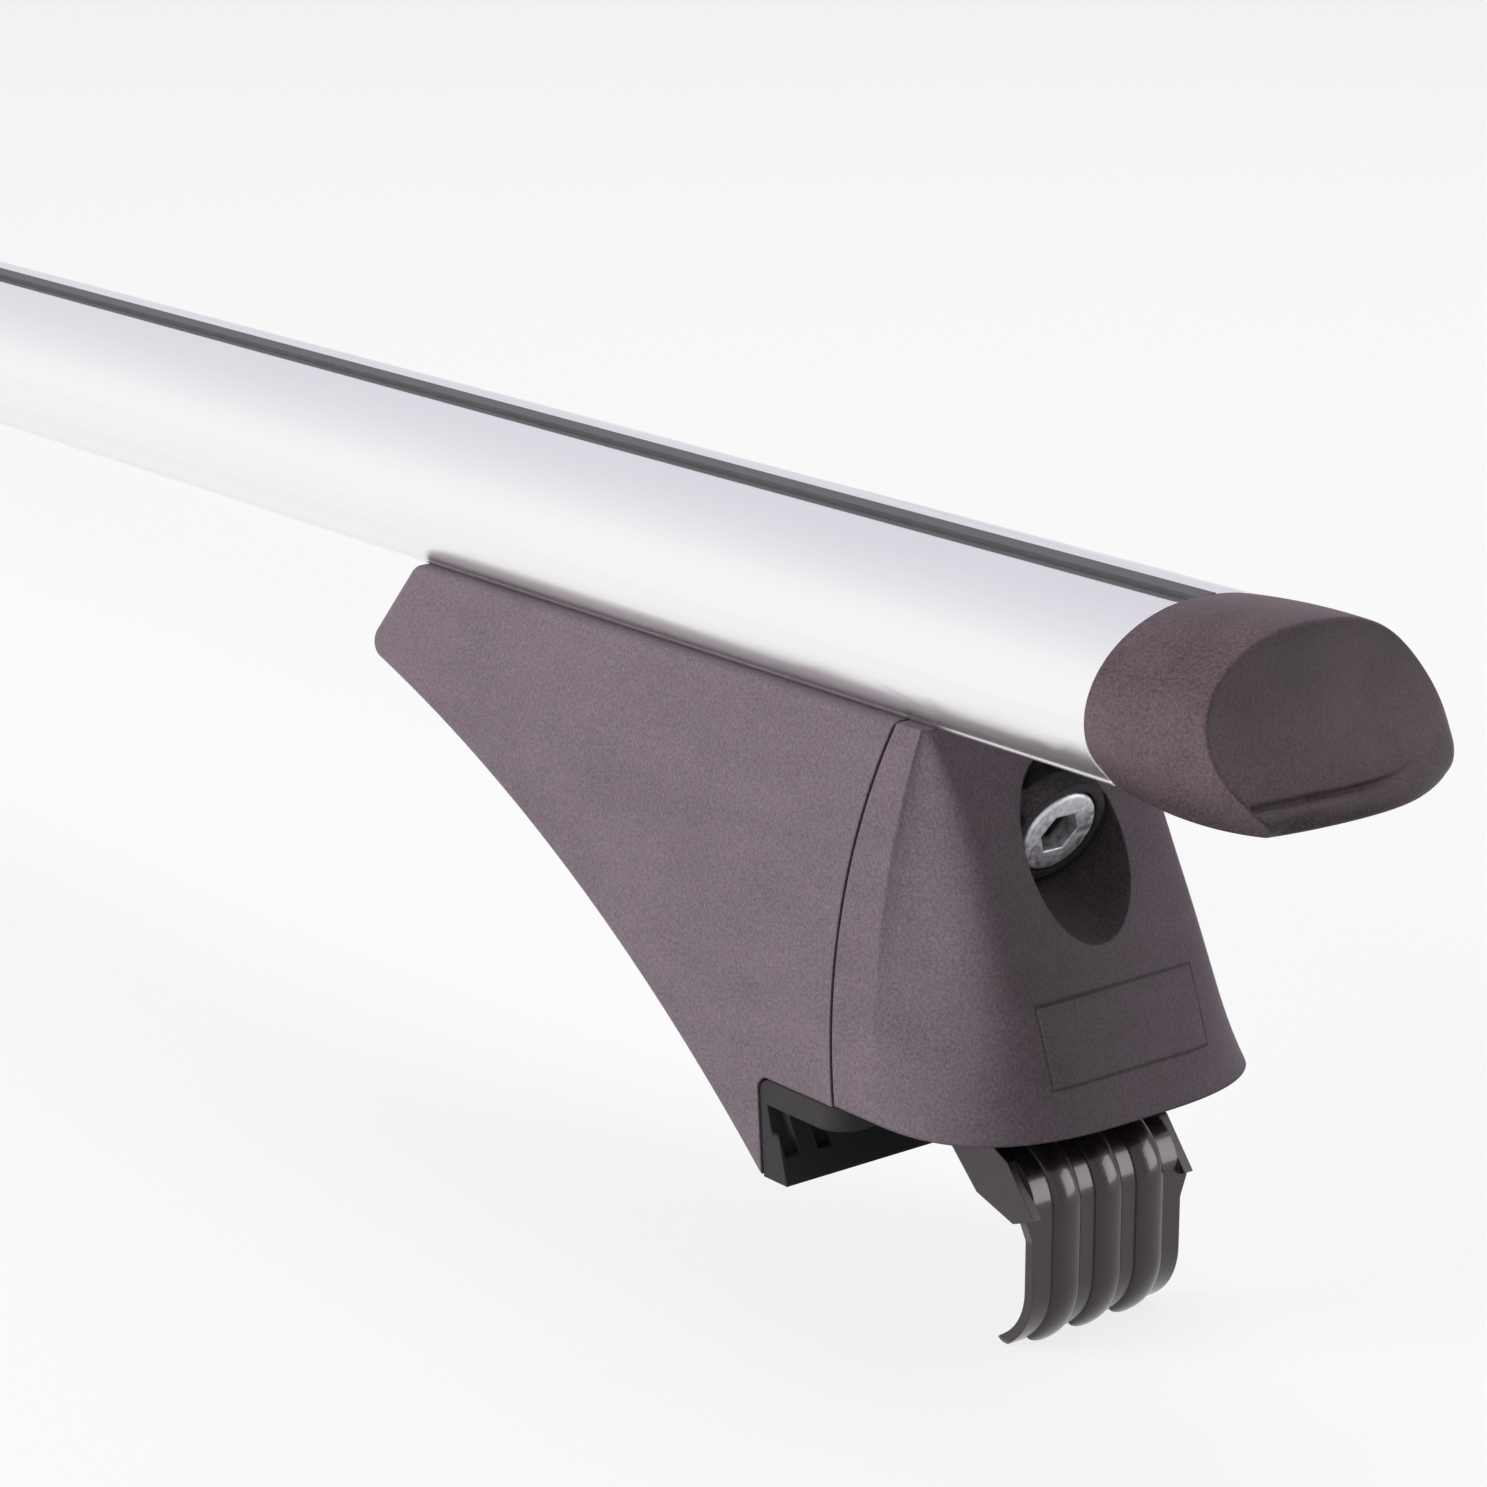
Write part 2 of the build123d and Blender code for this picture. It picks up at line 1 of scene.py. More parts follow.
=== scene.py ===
import bpy
import numpy as np
from mathutils import Matrix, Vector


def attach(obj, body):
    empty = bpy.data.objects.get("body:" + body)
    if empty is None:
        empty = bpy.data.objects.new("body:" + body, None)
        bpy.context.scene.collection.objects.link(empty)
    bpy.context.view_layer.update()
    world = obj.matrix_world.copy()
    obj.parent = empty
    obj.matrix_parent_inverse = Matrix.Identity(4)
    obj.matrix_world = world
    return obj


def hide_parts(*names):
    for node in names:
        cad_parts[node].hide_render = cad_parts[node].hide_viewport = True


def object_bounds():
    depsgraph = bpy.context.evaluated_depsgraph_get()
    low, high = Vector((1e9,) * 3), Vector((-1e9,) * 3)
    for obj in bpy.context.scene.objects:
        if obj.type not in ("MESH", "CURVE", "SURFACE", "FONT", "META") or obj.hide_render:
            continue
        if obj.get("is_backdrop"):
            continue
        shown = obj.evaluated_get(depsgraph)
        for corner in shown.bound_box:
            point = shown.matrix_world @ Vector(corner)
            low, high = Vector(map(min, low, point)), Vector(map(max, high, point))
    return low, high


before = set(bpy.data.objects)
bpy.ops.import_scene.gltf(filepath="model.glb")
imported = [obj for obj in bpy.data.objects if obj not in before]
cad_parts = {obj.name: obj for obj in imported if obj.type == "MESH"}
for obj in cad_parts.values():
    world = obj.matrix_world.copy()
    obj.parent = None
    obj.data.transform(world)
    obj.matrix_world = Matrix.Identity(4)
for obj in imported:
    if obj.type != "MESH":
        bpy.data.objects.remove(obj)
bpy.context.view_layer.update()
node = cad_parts


# Crossbar: one wing-shaped aluminium extrusion, sawn to length and satin anodised.
# The die leaves faint lines along its length, which the anodising softens.
class Lead:
    """A socket in one finish's node tree; arithmetic on leads adds Math nodes to that tree."""

    def __init__(self, tree, socket=None):
        self.tree = tree
        self.socket = socket

    def add(self, kind, settings=None, sockets=None, out=0):
        """One node: its settings are set first, then each socket gets a value or a link."""
        made = self.tree.nodes.new(kind)
        for key, value in (settings or {}).items():
            setattr(made, key, value)
        for key, value in (sockets or {}).items():
            if isinstance(value, Lead):
                self.tree.links.new(value.socket, made.inputs[key])
            else:
                made.inputs[key].default_value = value
        return Lead(self.tree, made.outputs[out])

    def math(self, operation, first, second):
        return self.add("ShaderNodeMath", {"operation": operation}, {0: first, 1: second})

    def __add__(self, other):
        return self.math("ADD", self, other)

    def __radd__(self, other):
        return self.math("ADD", other, self)

    def __sub__(self, other):
        return self.math("SUBTRACT", self, other)

    def __rsub__(self, other):
        return self.math("SUBTRACT", other, self)

    def __mul__(self, other):
        return self.math("MULTIPLY", self, other)

    def __rmul__(self, other):
        return self.math("MULTIPLY", other, self)

    def clamp(self):
        return self.add("ShaderNodeClamp", None, {"Value": self})

    def size(self):
        return self.math("ABSOLUTE", self, 0.0)

    def root(self):
        return self.math("SQRT", self, 0.0)

    def most(self, other):
        return self.math("MAXIMUM", self, other)

    def axes(self, *which):
        """The parts of this vector along the numbered axes."""
        return [self.add("ShaderNodeSeparateXYZ", None, {0: self}, out=axis) for axis in which]

    def shade(self, low, high):
        """A colour between low and high, by this lead from 0 to 1."""
        mix = {"data_type": "RGBA", "clamp_factor": True}
        return self.add("ShaderNodeMix", mix, {0: self, 6: low, 7: high}, out=2)


def new_finish(name, plain):
    """A material with plain values set on its shader's own sockets, a lead on its tree and the sockets."""
    finish = bpy.data.materials.new(name)
    finish.use_nodes = True
    sockets = finish.node_tree.nodes["Principled BSDF"].inputs
    for key, value in plain.items():
        sockets[key].default_value = value
    return finish, Lead(finish.node_tree), sockets


def feed(lead, socket):
    lead.tree.links.new(lead.socket, socket)


def object_place(lead, scale=(1.0, 1.0, 1.0)):
    """Object coordinates in metres, stretched by scale."""
    place = lead.add("ShaderNodeTexCoord", out=3)
    return lead.add("ShaderNodeMapping", None, {"Vector": place, "Scale": scale})


def noise(lead, place, scale, detail=2.0, roughness=0.5):
    sockets = {"Vector": place, "Scale": scale, "Detail": detail, "Roughness": roughness}
    return lead.add("ShaderNodeTexNoise", None, sockets)


def bump(lead, height, strength, distance, edge):
    """A Normal lead: edges rounded to the radius edge, raised by distance metres where height is 1."""
    rounded = lead.add("ShaderNodeBevel", {"samples": 4}, {"Radius": edge})
    sockets = {"Strength": strength, "Distance": distance, "Height": height, "Normal": rounded}
    return lead.add("ShaderNodeBump", None, sockets)


def dress(finish, *names):
    for name in names:
        node[name].data.materials.clear()
        node[name].data.materials.append(finish)


anodised, lead, sockets = new_finish("satin_anodised", {"Metallic": 1.0})
die_lines = noise(lead, object_place(lead, (3.0, 900.0, 900.0)), 1.0, 4.0, 0.6)
clouds = noise(lead, object_place(lead), 30.0, 3.0)
feed((0.6 * die_lines + 0.4 * clouds).shade((0.92, 0.913, 0.92, 1), (0.98, 0.974, 0.978, 1)), sockets["Base Color"])
feed(0.27 + 0.1 * die_lines + 0.05 * clouds, sockets["Roughness"])
feed(bump(lead, die_lines, 0.15, 0.00004, 0.0004), sockets["Normal"])
dress(anodised, "crossbar")

# Slot strip: black rubber extrusion pressed into the top slot, its near half lower than its far half.
# Dust greys it a little.
slot_rubber, lead, sockets = new_finish("slot_rubber", {"Specular IOR Level": 0.4})
dust = noise(lead, object_place(lead, (0.3, 1.0, 1.0)), 900.0, 4.0, 0.65)
feed(dust.shade((0.05, 0.05, 0.055, 1), (0.11, 0.108, 0.112, 1)), sockets["Base Color"])
feed(0.5 + 0.25 * dust, sockets["Roughness"])
feed(bump(lead, dust, 0.3, 0.00005, 0.0003), sockets["Normal"])
dress(slot_rubber, "slot_strip")

# End caps: soft dark grey plastic mouldings with a fine grained skin, pushed into the ends of the bar.
# Each carries the bar's section on to a leaning, bowed end, which is dished and has a groove above a rolled lip.
bar_end = 0.55
bar_underside = 0.0884
wing_nose = 0.0235
wing_tail = 0.0245
wing_height = 0.0232
wing_bottom = 0.0175
nose_height = 0.0097
crown_at = -0.0038
wing_back = (0.57 * wing_tail, 0.8 * wing_height)
wing_tip = (wing_tail, 0.13 * wing_height)
wing_rear = 0.9 * wing_tail
front_way = (-0.7, 0.7)
back_way = (0.8, -0.6)
tail_way = np.array((0.4, -1.0)) / np.hypot(0.4, 1.0)
flat_steps, curve_steps, brow_steps, tail_steps = 48, 32, 56, 16
cap_top_reach = 0.0199
cap_bottom_reach = 0.0332
end_lean = (cap_top_reach - cap_bottom_reach) / wing_height
end_stretch = np.hypot(1.0, end_lean)
cap_stations = (0.0, 0.5 * cap_bottom_reach, 1.2 * cap_bottom_reach)
cap_shapes = (
    {"inset": 0.0, "sag": 0.0},
    {"inset": -0.00065, "sag": 0.0007},
    {"inset": 0.0024, "sag": 0.0},
)
cap_bow = 0.048
cap_front_bow = 0.065
cap_bow_shift = -0.0027
tail_limit = 0.0265
tail_round = 0.012
face_middle = (-0.001, 0.0105)
dish_depth = 0.0022
groove_depth = 0.0011
groove_width = 0.0006
groove_height = 0.0036
edge_round = 0.0005
lip_round = 0.003
lip_base = -0.0006
halvings = 40
side_rows, rim_rows, face_rows = 18, 8, 80
face_crowding = 1.3
pole_share = 0.03
crease_angle = np.radians(50.0)
ends = ((1, "right"), (-1, "left"))


def hermite(start, end, leave, arrive, steps):
    """Cubic from start to end, with the end left out: (2t^3 - 3t^2 + 1) start + (3t^2 - 2t^3) end
    + (t^3 - 2t^2 + t) leave + (t^3 - t^2) arrive, where leave and arrive are directions made as long as the span."""
    start, end, leave, arrive = [np.array(point, float) for point in (start, end, leave, arrive)]
    span = np.linalg.norm(end - start)
    leave *= span / np.linalg.norm(leave)
    arrive *= span / np.linalg.norm(arrive)
    t = np.linspace(0.0, 1.0, steps, endpoint=False)[:, None]
    slopes = (t - 1) ** 2 * t * leave + (t - 1) * t * t * arrive
    return ((2 * t - 3) * t * t + 1) * start + (3 - 2 * t) * t * t * end + slopes


def wing_outline(inset, sag):
    """The bar's section, each point pulled in by its own share of inset and the bottom lowered by sag: flat bottom,
    front curve, elliptic brow up to the crown, back curve, and an arc round the tail, as rows of (across, up)."""
    front = np.array((-wing_bottom + 0.5 * inset, inset - sag))
    nose = (-wing_nose + inset, nose_height)
    crown = (crown_at, wing_height - inset)
    back = (wing_back[0] - 0.6 * inset, wing_back[1] - 0.8 * inset)
    tail = np.array((wing_tip[0] - 1.6 * inset, wing_tip[1] + 0.3 * inset))
    rear = np.array((wing_rear - 1.3 * inset, inset - sag))
    flat = np.linspace(rear, front, flat_steps, endpoint=False)
    turn = np.linspace(np.pi, 0.5 * np.pi, brow_steps, endpoint=False)[:, None]
    radii = np.array((wing_nose + crown_at - inset, wing_height - nose_height - inset))
    brow = np.array((crown_at, nose_height)) + radii * np.hstack((np.cos(turn), np.sin(turn)))
    chord = (rear - tail) / np.linalg.norm(rear - tail)
    parts = (
        flat,
        hermite(front, nose, front_way, (0.0, 1.0), curve_steps),
        brow,
        hermite(crown, back, (1.0, 0.0), back_way, curve_steps),
        hermite(back, tail, back_way, tail_way, curve_steps),
        hermite(tail, rear, tail_way, 2 * (chord @ tail_way) * chord - tail_way, tail_steps),
    )
    return np.vstack(parts)


cap_sections = [wing_outline(**shape) for shape in cap_shapes]


def cap_side(reach):
    """Across and up of the outline at reach from the bar's end: the parabola through the three sections."""
    first, second, third = cap_stations
    shares = (
        (reach - second) * (reach - third) / ((first - second) * (first - third)),
        (reach - first) * (reach - third) / ((second - first) * (second - third)),
        (reach - first) * (reach - second) / ((third - first) * (third - second)),
    )
    return [sum(share * section[:, axis] for share, section in zip(shares, cap_sections)) for axis in (0, 1)]


def end_reach(across, up):
    """Reach of the bowed end: a leaning cylinder of radius cap_bow, flatter to the front, its tail side rounded
    to tail_round."""
    centre = tail_limit - tail_round
    inner = cap_bow - tail_round
    sunk = cap_bow - np.sqrt(inner ** 2 - (centre - cap_bow_shift) ** 2)
    radius = np.where(across < cap_bow_shift, cap_front_bow, cap_bow)
    bow = radius - np.sqrt(radius ** 2 - (across - cap_bow_shift) ** 2)
    corner = sunk - np.sqrt(np.maximum(tail_round ** 2 - (across - centre) ** 2, 0.0))
    joins = cap_bow_shift + (centre - cap_bow_shift) * cap_bow / inner
    return cap_bottom_reach - np.where(across > joins, corner, bow) * end_stretch + up * end_lean


def rolled_reach(across, up):
    """Reach of the end with its lower edge rolled: up to where it meets the bowed end, a circle of radius lip_round
    that stands on lip_base, its middle lip_round times end_stretch behind the bowed end."""
    middle = lip_base + lip_round
    drop = np.clip(middle - up, -lip_round, lip_round)
    roll = end_reach(across, middle) - lip_round * end_stretch + np.sqrt(lip_round ** 2 - drop ** 2)
    return np.where(up < middle - lip_round * end_lean / end_stretch, roll, end_reach(across, up))


# The rim is where the side meets the rolled end, found by halving.
near = np.full(len(cap_sections[0]), cap_stations[0])
far = np.full(len(cap_sections[0]), cap_stations[2])
for _ in range(halvings):
    rim_reach = 0.5 * (near + far)
    short = rolled_reach(*cap_side(rim_reach)) > rim_reach
    near, far = np.where(short, rim_reach, near), np.where(short, far, rim_reach)
rim_across, rim_up = cap_side(rim_reach)
spoke = np.hypot(rim_across - face_middle[0], rim_up - face_middle[1])


def cap_face(share):
    """The dished end at a share of each spoke from the middle to the rim: the bowed end, sunk by dish_depth
    times 1 - share cubed, and by a groove of bell section over the lower lip, which fades tailwards."""
    across = face_middle[0] + share * (rim_across - face_middle[0])
    up = face_middle[1] + share * (rim_up - face_middle[1])
    past = np.clip(across / wing_tail, 0.0, 1.0)
    beside = (up - groove_height * (1.0 + past ** 2)) / groove_width
    sunk = dish_depth * (1.0 - share ** 3) + groove_depth * (1.0 - past) ** 2 * np.exp(-beside ** 2)
    return np.stack((rolled_reach(across, up) - sunk, across, up), axis=-1)


def cap_rows():
    """Rows of points from the bar's end over the side, round the rim and in to the middle of the face.
    The rim is a parabola from the side to the face, with the sharp corner as its control point."""
    along = np.linspace(0.0, 1.0, side_rows)[:, None] * (rim_reach - edge_round)
    side = np.stack((along, *cap_side(along)), axis=-1)
    corner = np.stack((rim_reach, rim_across, rim_up), axis=-1)
    inside = 1.0 - edge_round / spoke
    t = np.linspace(0.0, 1.0, rim_rows)[1:-1, None, None]
    rim = (1 - t) ** 2 * side[-1] + 2 * t * (1 - t) * corner + t * t * cap_face(inside)
    inwards = (1.0 - pole_share) * np.linspace(0.0, 1.0, face_rows)[:, None] ** face_crowding
    return np.concatenate((side, rim, cap_face((1.0 - inwards) * inside)))


def skin(name, points, faces):
    """A mesh shaded smooth but for its sharp edges."""
    mesh = bpy.data.meshes.new(name)
    mesh.from_pydata(points.tolist(), [], faces)
    mesh.polygons.foreach_set("use_smooth", np.ones(len(faces), bool))
    mesh.set_sharp_from_angle(angle=crease_angle)
    return mesh


def add_piece(mesh, finish):
    """An object of the mesh's name that rides on the bar."""
    piece = bpy.data.objects.new(mesh.name, mesh)
    bpy.context.scene.collection.objects.link(piece)
    mesh.materials.append(finish)
    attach(piece, "bar")
    return piece


def cap_mesh(name, hand):
    """The rows as a closed skin, with one pole in the bar's end and one in the face; hand is 1 or -1."""
    rows = cap_rows()
    count, around = rows.shape[:2]
    poles = np.array(((0.0, *face_middle), rows[-1].mean(axis=0)))
    points = np.vstack((rows.reshape(-1, 3), poles)) + (bar_end, 0.0, bar_underside)
    points[:, 0] *= hand
    ring = np.arange(around)
    ahead = np.roll(ring, -1)
    start = around * np.arange(count - 1)[:, None]
    quads = np.stack((start + ring, start + ahead, start + around + ahead, start + around + ring), axis=-1)
    last = around * (count - 1)
    back = np.stack((ahead, ring, np.full(around, last + around)), axis=-1)
    front = np.stack((last + ring, last + ahead, np.full(around, last + around + 1)), axis=-1)
    faces = quads.reshape(-1, 4)[:, ::hand].tolist() + np.vstack((back, front))[:, ::hand].tolist()
    return skin(name, points, faces)


def grain(lead, scale, contrast):
    """Fine moulded grain from 0 to 1 around one half, steepened by contrast."""
    return ((noise(lead, object_place(lead), scale, 2.0) - 0.5) * contrast + 0.5).clamp()


def both(name):
    return ["right_" + name, "left_" + name]


shaded_below_height, low_fade = 0.0955, 150.0
shaded_above_height, high_fade = 0.1, 200.0
cap_skin, lead, sockets = new_finish("cap_skin", {"Specular IOR Level": 0.12})
cap_grain = grain(lead, 2600.0, 2.2)
cap_cloud = noise(lead, object_place(lead), 120.0, 3.0)
(up,) = object_place(lead).axes(2)
# Painted shade: the cap's colour darkens on its lower part and, more mildly, on its upper part.
low_painted_shade = ((shaded_below_height - up) * low_fade).clamp()
top_painted_shade = ((up - shaded_above_height) * high_fade).clamp()
tone = 0.6 * cap_grain + 0.4 * cap_cloud - (0.3 * low_painted_shade + 0.16 * top_painted_shade)
feed(tone.shade((0.04, 0.028, 0.033, 1), (0.165, 0.12, 0.137, 1)), sockets["Base Color"])
feed(0.4 + 0.16 * cap_grain, sockets["Roughness"])
feed(bump(lead, cap_grain, 0.35, 0.00008, 0.0003), sockets["Normal"])
for hand, end_name in ends:
    cap = add_piece(cap_mesh(end_name + "_dished_cap", hand), cap_skin)
    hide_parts(end_name + "_end_cap")
dress(cap_skin, *both("end_cap"))

# Foot bodies: hollow mouldings in grey plastic with a fine spark-eroded grain, hung under the bar.
# Handling has left a few pale scuffs on their sides.
foot_dark = (0.082, 0.063, 0.076, 1)
foot_pale = (0.205, 0.164, 0.192, 1)


def foot_plastic(lead):
    """The fine grain of the feet's plastic and its soft clouds, which are flattened in height."""
    return grain(lead, 2400.0, 2.2), noise(lead, object_place(lead, (1.0, 1.0, 2.5)), 60.0, 3.0)


foot_skin, lead, sockets = new_finish("foot_skin", {"Specular IOR Level": 0.15})
foot_grain, foot_cloud = foot_plastic(lead)
scuffs = (noise(lead, object_place(lead, (60.0, 60.0, 900.0)), 1.0, 3.0, 0.7) - 0.66).clamp()
feed((0.6 * foot_grain + 0.4 * foot_cloud + 2.0 * scuffs).shade(foot_dark, foot_pale), sockets["Base Color"])
feed(0.5 + 0.2 * foot_grain, sockets["Roughness"])
feed(bump(lead, foot_grain, 0.35, 0.00008, 0.0006), sockets["Normal"])
dress(foot_skin, *both("foot_body"))

# Outer covers: shells of the same plastic clipped to the bodies by tongues. Each has a pocket with a collar for
# the bolt, painted dark as shade, and on its end face a thin bare plate, set in a fine groove that is painted dark
# as shade.
bolt_at = (0.5207, 0.0715)
bolt_lean = np.radians(23.5)
bolt_rise, bolt_run = float(np.sin(bolt_lean)), float(np.cos(bolt_lean))
pocket_radius = 0.0091
pocket_fade = 8000.0
groove_fade = 3000.0
field_half_width = 0.0146
field_middle = 0.04685
field_half_height = 0.00545
cover_skin, lead, sockets = new_finish("cover_skin", {"Specular IOR Level": 0.1})
cover_grain, cover_cloud = foot_plastic(lead)
out, across, up = object_place(lead).axes(0, 1, 2)
above = bolt_rise * (out.size() - bolt_at[0]) + bolt_run * (up - bolt_at[1])
from_bolt = (above * above + across * across).root()
# Painted shade: near black colour inside the bolt's pocket and along the groove round the plate.
pocket = ((pocket_radius - from_bolt) * pocket_fade).clamp()
frame_line = (across.size() - field_half_width).most((up - field_middle).size() - field_half_height).size()
groove = (1.0 - frame_line * groove_fade).clamp()
plain = (0.6 * cover_grain + 0.4 * cover_cloud).shade(foot_dark, foot_pale)
shaded = (0.8 * pocket + 0.6 * groove).clamp()
pocket_and_groove_shade = cover_grain.shade((0.008, 0.0075, 0.008, 1), (0.05, 0.047, 0.049, 1))
feed(shaded.shade(plain, pocket_and_groove_shade), sockets["Base Color"])
feed(0.5 + 0.2 * cover_grain, sockets["Roughness"])
feed(bump(lead, 0.3 * cover_grain - groove, 0.5, 0.00025, 0.0006), sockets["Normal"])
dress(cover_skin, *both("outer_cover"))

field_gap = 0.00015
field_raise = 0.0002
field_root = -0.0005
field_edge = np.array((0.0, 0.02, 0.08, 0.18, 0.3)) * 0.001
field_steps = 24
face_level = 0.047
face_reach = 0.534507
face_lean = -0.4202
face_bend = -1.28
corner_start, corner_start_slope = 0.0112, 0.36
corner_radius, corner_radius_slope = 0.0206, -0.9


def cover_end(across, up):
    """Reach of the cover's end face: a shallow parabola in height, less another at each corner, which starts nearer
    the middle and turns more gently the lower it is."""
    rise = up - face_level
    start = corner_start + corner_start_slope * rise
    radius = corner_radius + corner_radius_slope * rise
    corner = np.maximum(np.abs(across) - start, 0.0) ** 2 / (2.0 * radius)
    return face_reach + face_lean * rise + face_bend * rise ** 2 - corner


def field_mesh(name, hand):
    """The plate: a grid on the cover's end face, raised by field_raise with a quarter round edge, and closed by a
    second grid inside the cover's wall; hand is 1 or -1."""
    sides = []
    for half in (field_half_width - field_gap, field_half_height - field_gap):
        flat = np.linspace(field_edge[-1] - half, half - field_edge[-1], field_steps)[1:-1]
        sides.append(np.concatenate((field_edge - half, flat, (half - field_edge)[::-1])))
    across, up = np.meshgrid(*sides)
    from_edge = np.minimum(sides[0].max() - np.abs(across), sides[1].max() - np.abs(up))
    round_off = 1.0 - np.minimum(from_edge / field_edge[-1], 1.0)
    up = up + field_middle
    heights = (field_raise * np.sqrt(1.0 - round_off ** 2), field_root)
    layers = [np.stack((cover_end(across, up) + height, across, up), axis=-1).reshape(-1, 3) for height in heights]
    points = np.vstack(layers) * (hand, 1.0, 1.0)
    index = np.arange(across.size).reshape(across.shape)
    front = np.stack((index[:-1, :-1], index[:-1, 1:], index[1:, 1:], index[1:, :-1]), axis=-1).reshape(-1, 4)
    rim = np.concatenate((index[0, :-1], index[:-1, -1], index[-1, :0:-1], index[:0:-1, 0]))
    ahead = np.roll(rim, -1)
    wall = np.stack((rim, rim + across.size, ahead + across.size, ahead), axis=-1)
    faces = np.vstack((front, front[:, ::-1] + across.size, wall))
    return skin(name, points, faces[:, ::hand].tolist())


for hand, end_name in ends:
    add_piece(field_mesh(end_name + "_field_plate", hand), cover_skin)

# Rail pads: soft black rubber corners moulded with grooves on the side that meets the rail.
# Each is pressed into the notch of its foot.
pad_rubber, lead, sockets = new_finish("pad_rubber", {"Specular IOR Level": 0.3})
pad_grain = noise(lead, object_place(lead), 1800.0, 3.0)
feed(pad_grain.shade((0.018, 0.0165, 0.017, 1), (0.045, 0.041, 0.042, 1)), sockets["Base Color"])
feed(0.6 + 0.2 * pad_grain, sockets["Roughness"])
feed(bump(lead, pad_grain, 0.3, 0.00006, 0.0005), sockets["Normal"])
dress(pad_rubber, *both("rail_pad"))

# Nuts, washers and hammer-head bolts: steel with a bright zinc plating, a little mottled.
# They hold the feet in the bar's underside channel, and the clamp bolts to the brackets.
zinc, lead, sockets = new_finish("zinc_plating", {"Metallic": 1.0})
spangle = noise(lead, object_place(lead), 700.0, 3.0)
feed(spangle.shade((0.55, 0.56, 0.58, 1), (0.82, 0.82, 0.83, 1)), sockets["Base Color"])
feed(0.22 + 0.16 * spangle, sockets["Roughness"])
feed(bump(lead, spangle, 0.1, 0.00004, 0.0003), sockets["Normal"])
dress(zinc, *both("clamp_nut"), *both("t_bolts"), *both("t_washers"), *both("t_nuts"))

# Clamp bolts: socket head steel bolts whose zinc has gone milky and blotched in use, with painted shade darkening
# them behind the front of the head, where the pocket shades them. Each turns in the nut that is welded to its
# bracket.
head_shade_depth = 0.002
head_shade_fade = 900.0
worn_zinc, lead, sockets = new_finish("worn_zinc", {"Specular IOR Level": 0.6})
blotches = ((noise(lead, object_place(lead), 900.0, 4.0, 0.65) - 0.5) * 2.6 + 0.5).clamp()
out, up = object_place(lead).axes(0, 2)
along = bolt_run * (out.size() - bolt_at[0]) - bolt_rise * (up - bolt_at[1])
# Painted shade: the bolt turns near black and loses its metal look behind the front of its head.
head_shade = ((-head_shade_depth - along) * head_shade_fade).clamp()
milky = blotches.shade((0.5, 0.48, 0.53, 1), (0.95, 0.94, 0.97, 1))
feed(head_shade.shade(milky, (0.03, 0.027, 0.028, 1)), sockets["Base Color"])
feed((0.85 - 0.4 * blotches) * (1.0 - head_shade), sockets["Metallic"])
feed(0.28 + 0.24 * blotches, sockets["Roughness"])
feed(bump(lead, blotches, 0.2, 0.00005, 0.0004), sockets["Normal"])
dress(worn_zinc, *both("clamp_bolt"))

# Support brackets and clamp hooks: folded steel strip, the hooks with three pressed ribs, coated gloss black.
# The washers under the bolts' heads have the same coat.
gloss = {"Specular Tint": (0.9, 0.72, 0.78, 1), "Coat Weight": 0.4, "Coat Roughness": 0.08}
coat, lead, sockets = new_finish("gloss_black_coat", gloss)
orange_peel = noise(lead, object_place(lead), 500.0, 2.0)
feed(orange_peel.shade((0.009, 0.0075, 0.008, 1), (0.02, 0.0165, 0.018, 1)), sockets["Base Color"])
feed(0.2 + 0.12 * orange_peel, sockets["Roughness"])
feed(bump(lead, orange_peel, 0.08, 0.0001, 0.0004), sockets["Normal"])
dress(coat, *both("clamp_hook"), *both("support_bracket"), *both("clamp_washer"))

# Studio: a pale floor, an even white room whose ceiling greys in reflections, and four soft boxes, one at the
# front on the left, one beyond the bar's end, one high behind and one overhead. Reflections show the second and
# third, and the second doesn't light dull surfaces.
floor_size = 12.0
floor_glow = 0.82
room_light = 0.12


def ray(lead, kind):
    return lead.add("ShaderNodeLightPath", out=kind)


def seen(lead):
    """1 for what the camera sees, straight, mirrored or through glass, and 0 for what only lights."""
    return (ray(lead, "Is Camera Ray") + ray(lead, "Is Glossy Ray") + ray(lead, "Is Transmission Ray")).clamp()


corners = floor_size * np.array([[-1, -1, 0], [1, -1, 0], [1, 1, 0], [-1, 1, 0]], float)
floor_mesh = bpy.data.meshes.new("studio_floor")
floor_mesh.from_pydata(corners.tolist(), [], [(0, 1, 2, 3)])
floor = bpy.data.objects.new("studio_floor", floor_mesh)
bpy.context.scene.collection.objects.link(floor)
paper, lead, _ = new_finish("floor_paper", {"Base Color": (0.72, 0.72, 0.72, 1), "Roughness": 0.9})
white = lead.add("ShaderNodeEmission", None, {"Strength": 1.0})
diffuse = Lead(lead.tree, lead.tree.nodes["Principled BSDF"].outputs[0])
surface = lead.add("ShaderNodeMixShader", None, {0: floor_glow * seen(lead), 1: diffuse, 2: white})
feed(surface, lead.tree.nodes["Material Output"].inputs["Surface"])
floor_mesh.materials.append(paper)
floor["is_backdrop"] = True

room = bpy.data.worlds.new("studio_room")
bpy.context.scene.world = room
room.use_nodes = True
lead = Lead(room.node_tree)
rear, high = lead.add("ShaderNodeTexCoord", out=0).axes(1, 2)
ceiling = ray(lead, "Is Glossy Ray") * (0.22 + 0.9 * rear + 0.5 * high).clamp()
tone = ceiling.shade((1.0, 1.0, 1.0, 1), (0.7, 0.68, 0.76, 1))
backdrop = lead.tree.nodes["Background"].inputs
feed(tone, backdrop["Color"])
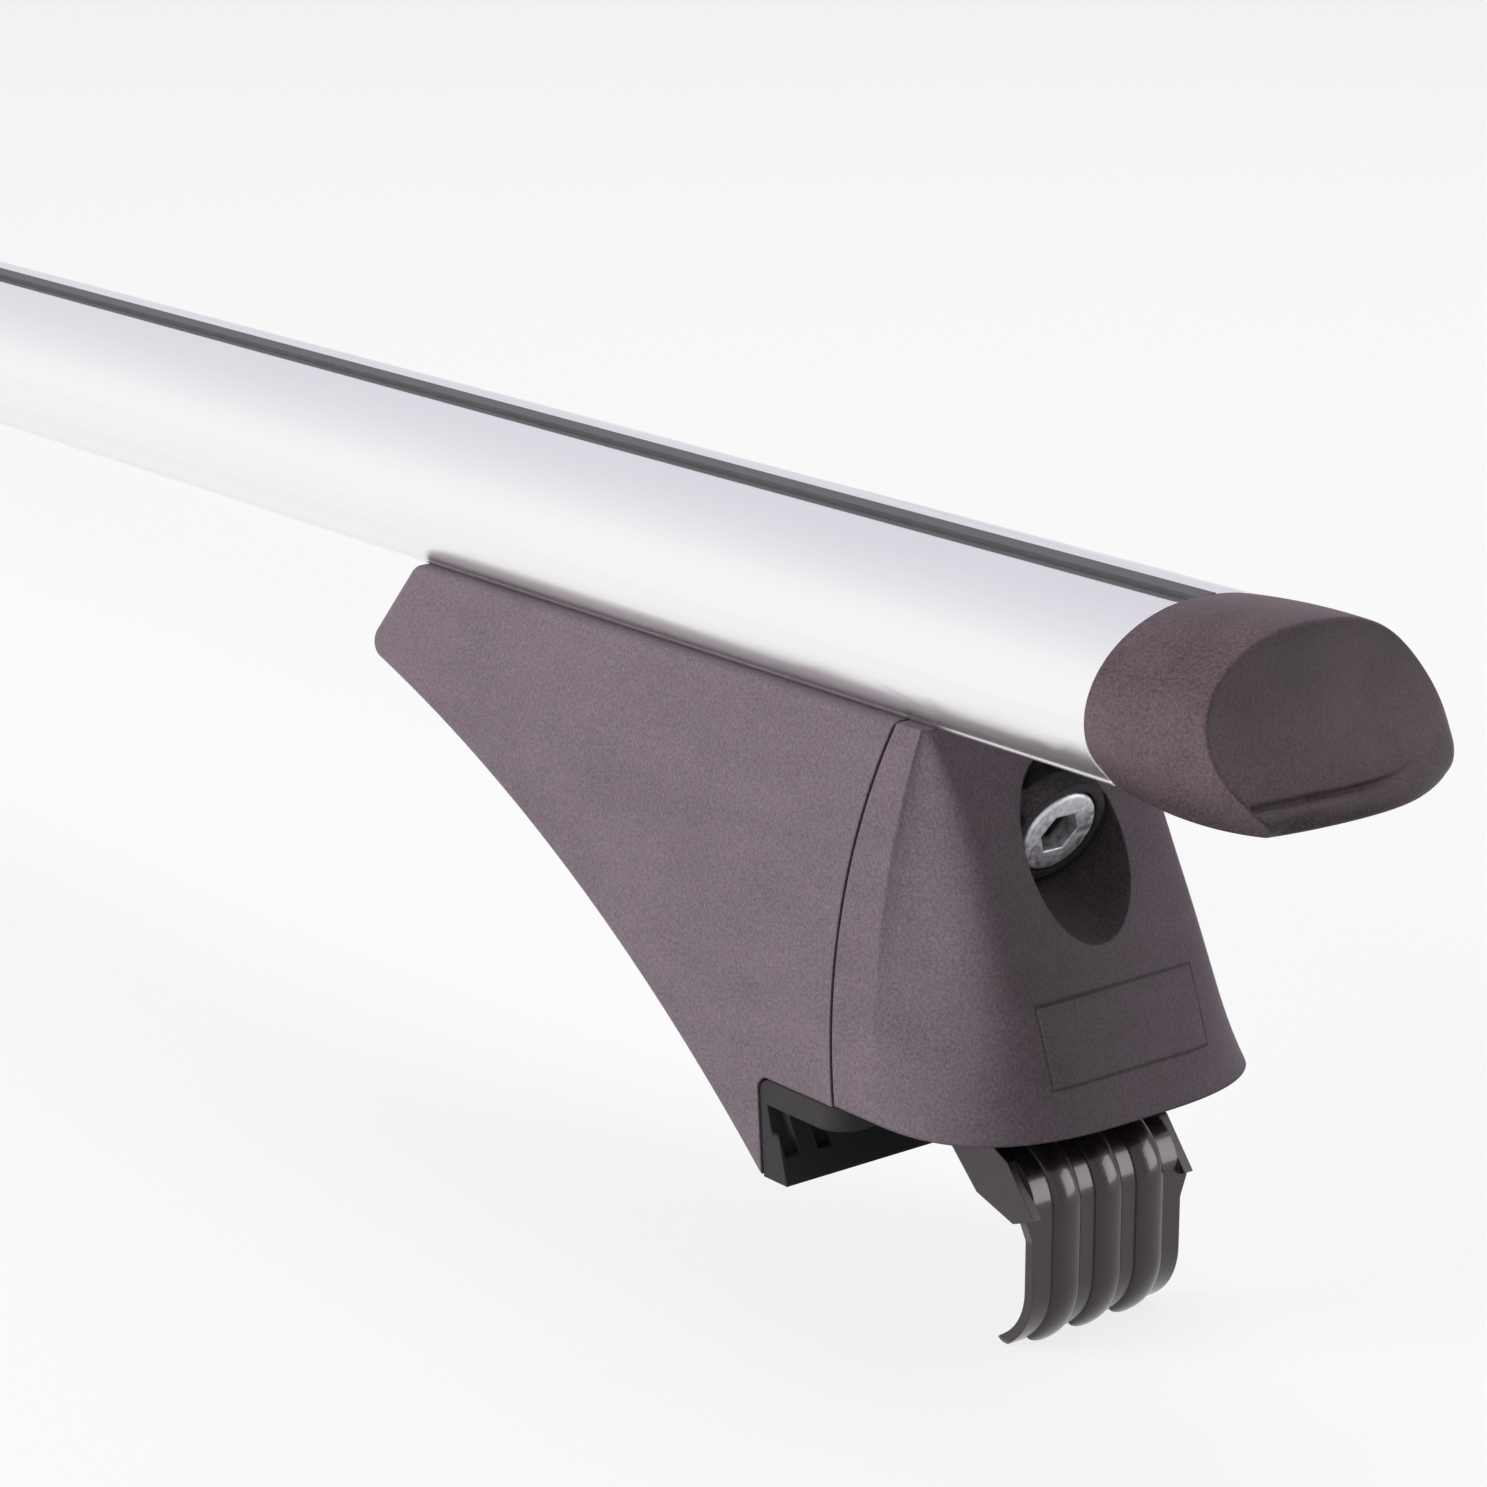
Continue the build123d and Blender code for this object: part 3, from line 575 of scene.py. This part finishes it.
feed(room_light + (1.0 - room_light) * seen(lead), backdrop["Strength"])


def soft_box(name, place, aim, size, power, mirrored, lights=True):
    """A square area lamp at place that faces aim; mirrored says whether reflections show it, and lights whether it
    lights dull surfaces."""
    lamp = bpy.data.lights.new(name, "AREA")
    lamp.size = size
    lamp.energy = power
    box = bpy.data.objects.new(name, lamp)
    box.visible_glossy = mirrored
    box.visible_diffuse = lights
    bpy.context.scene.collection.objects.link(box)
    back = np.array(place, float) - np.array(aim, float)
    back /= np.linalg.norm(back)
    side = np.cross((0.0, 0.0, 1.0), back)
    side /= np.linalg.norm(side)
    turn = np.eye(4)
    turn[:3, 0], turn[:3, 1], turn[:3, 2], turn[:3, 3] = side, np.cross(back, side), back, place
    box.matrix_world = Matrix(turn.tolist())
    box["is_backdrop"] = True


soft_box("key_box", (-0.3, -1.7, 0.7), (0.5, 0.0, 0.06), size=1.2, power=46.0, mirrored=False)
soft_box("side_box", (1.62, 1.09, 0.49), (0.55, 0.0, 0.05), size=0.9, power=11.0, mirrored=True, lights=False)
soft_box("rear_box", (0.95, 1.1, 1.5), (0.56, 0.0, 0.06), size=0.9, power=9.0, mirrored=True)
soft_box("top_box", (0.3, 0.5, 1.7), (0.5, 0.0, 0.06), size=0.9, power=14.0, mirrored=False)

# Camera at the photograph's angle, fitted to the edges of the bar, the foot and the hook.
# The columns of its stance are right, up, back and its place, and the lens has no shift.
eye = bpy.data.cameras.new("photo_camera")
eye.lens = 100.6
eye.sensor_width = 36.0
eye.clip_start = 0.05
eye.clip_end = 60.0
camera = bpy.data.objects.new("photo_camera", eye)
bpy.context.scene.collection.objects.link(camera)
stance = np.eye(4)
stance[:3, 0] = (0.6223, 0.7828, 0.0)
stance[:3, 1] = (-0.2166, 0.1722, 0.961)
stance[:3, 2] = (0.7522, -0.598, 0.2767)
stance[:3, 3] = (0.92488, -0.37736, 0.24313)
camera.matrix_world = Matrix(stance.tolist())
bpy.context.scene.camera = camera
bpy.context.scene.view_settings.view_transform = "Standard"

low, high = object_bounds()
